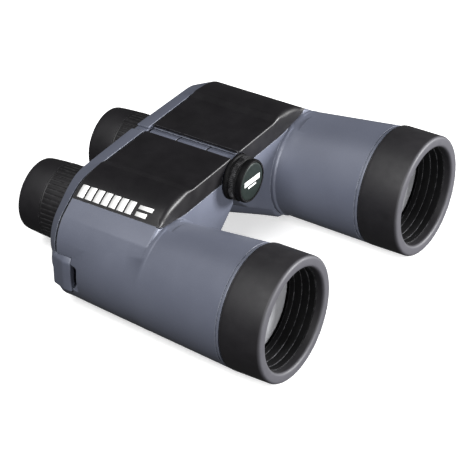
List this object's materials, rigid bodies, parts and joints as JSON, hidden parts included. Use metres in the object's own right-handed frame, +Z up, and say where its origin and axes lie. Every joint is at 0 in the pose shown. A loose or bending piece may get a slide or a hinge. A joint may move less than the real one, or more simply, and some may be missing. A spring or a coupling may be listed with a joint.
{
  "type": "binoculars",
  "caption": "Porro-prism binoculars with grey housings, black covers and objective rings, ribbed focusing eyepieces and a centre hinge with a screw cap.",
  "frame": {"origin": "middle of the footprint, at the height of the lowest point of the objective rings", "axes": "+X to the user's right, +Y towards the objectives, +Z up"},
  "size_m": [0.192, 0.176, 0.0674],
  "materials": {
    "grey_paint": "satin slate-grey paint with a fine grain",
    "black_cover": "semi-matt black moulding with a fine texture",
    "black_rubber": "matt black rubber",
    "black_grip": "matt black, ribbed",
    "black_cap": "black anodised, grooved",
    "cap_disc": "dark grey-green enamel",
    "anodised_black": "matt black anodised, against stray light",
    "optical_glass": "coated optical glass",
    "aluminium": "machined",
    "steel": "turned",
    "spring_steel": "rolled spring strip",
    "seal_rubber": "smooth nitrile rubber"
  },
  "bodies": {
    "right_half": {"right_body_shell": "grey_paint", "right_top_cover": "black_cover", "right_rear_cover": "grey_paint", "right_rear_gasket": "seal_rubber", "right_prism_plate": "aluminium", "right_prism_rear": "optical_glass", "right_prism_front": "optical_glass", "right_prism_clip_rear": "spring_steel", "right_prism_clip_front": "spring_steel", "right_objective_ring": "black_rubber", "right_objective_seal": "seal_rubber", "right_objective_barrel": "anodised_black", "right_objective_retainer": "anodised_black", "right_objective_crown_lens": "optical_glass", "right_objective_flint_lens": "optical_glass", "right_ocular_sleeve": "aluminium", "hinge_axle": "steel", "hinge_washer_rear": "steel", "hinge_washer_front": "steel", "hinge_nut": "steel", "hinge_rear_cap": "black_cover", "tripod_socket": "steel"},
    "left_half": {"left_body_shell": "grey_paint", "left_top_cover": "black_cover", "left_rear_cover": "grey_paint", "left_rear_gasket": "seal_rubber", "left_prism_plate": "aluminium", "left_prism_rear": "optical_glass", "left_prism_front": "optical_glass", "left_prism_clip_rear": "spring_steel", "left_prism_clip_front": "spring_steel", "left_objective_ring": "black_rubber", "left_objective_seal": "seal_rubber", "left_objective_barrel": "anodised_black", "left_objective_retainer": "anodised_black", "left_objective_crown_lens": "optical_glass", "left_objective_flint_lens": "optical_glass", "left_ocular_sleeve": "aluminium"},
    "right_focus_seal": {"right_ocular_seal": "seal_rubber"},
    "right_ocular": {"right_ocular_barrel": "anodised_black", "right_field_lens": "optical_glass", "right_eye_lens": "optical_glass", "right_focus_ring": "black_grip", "right_eyecup": "black_rubber"},
    "left_focus_seal": {"left_ocular_seal": "seal_rubber"},
    "left_ocular": {"left_ocular_barrel": "anodised_black", "left_field_lens": "optical_glass", "left_eye_lens": "optical_glass", "left_focus_ring": "black_grip", "left_eyecup": "black_rubber"},
    "cap_seal": {"socket_cap_seal": "seal_rubber"},
    "cap": {"socket_cap": "black_cap", "socket_cap_disc": "cap_disc"}
  },
  "joints": [
    {"name": "interpupillary_hinge", "type": "hinge", "parent": "right_half", "child": "left_half", "pos_m": [0, -0.0132, 0.054], "axis": [0, 1, 0], "range_deg": [-10, 30]},
    {"name": "right_focus_travel", "type": "slide", "parent": "right_half", "child": "right_focus_seal", "axis": [0, 1, 0], "range_m": [-0.0037, 0.0037]},
    {"name": "right_focus_turn", "type": "hinge", "parent": "right_focus_seal", "child": "right_ocular", "pos_m": [0.0305, -0.0612, 0.0272], "axis": [0, 1, 0], "range_deg": [-146, 146]},
    {"name": "left_focus_travel", "type": "slide", "parent": "left_half", "child": "left_focus_seal", "axis": [0, 1, 0], "range_m": [-0.0037, 0.0037]},
    {"name": "left_focus_turn", "type": "hinge", "parent": "left_focus_seal", "child": "left_ocular", "pos_m": [-0.0305, -0.0612, 0.0272], "axis": [0, 1, 0], "range_deg": [-146, 146]},
    {"name": "cap_travel", "type": "slide", "parent": "right_half", "child": "cap_seal", "axis": [0, 1, 0], "range_m": [0, 0.0061]},
    {"name": "cap_turn", "type": "hinge", "parent": "cap_seal", "child": "cap", "pos_m": [0, 0.0178, 0.054], "axis": [0, 1, 0], "range_deg": [0, 1440]}
  ],
  "couplings": [
    {"joint": "right_focus_travel", "follows": "right_focus_turn", "m_per_rad": 0.0014324},
    {"joint": "left_focus_travel", "follows": "left_focus_turn", "m_per_rad": 0.0014324},
    {"joint": "cap_travel", "follows": "cap_turn", "m_per_rad": 0.00023873}
  ]
}
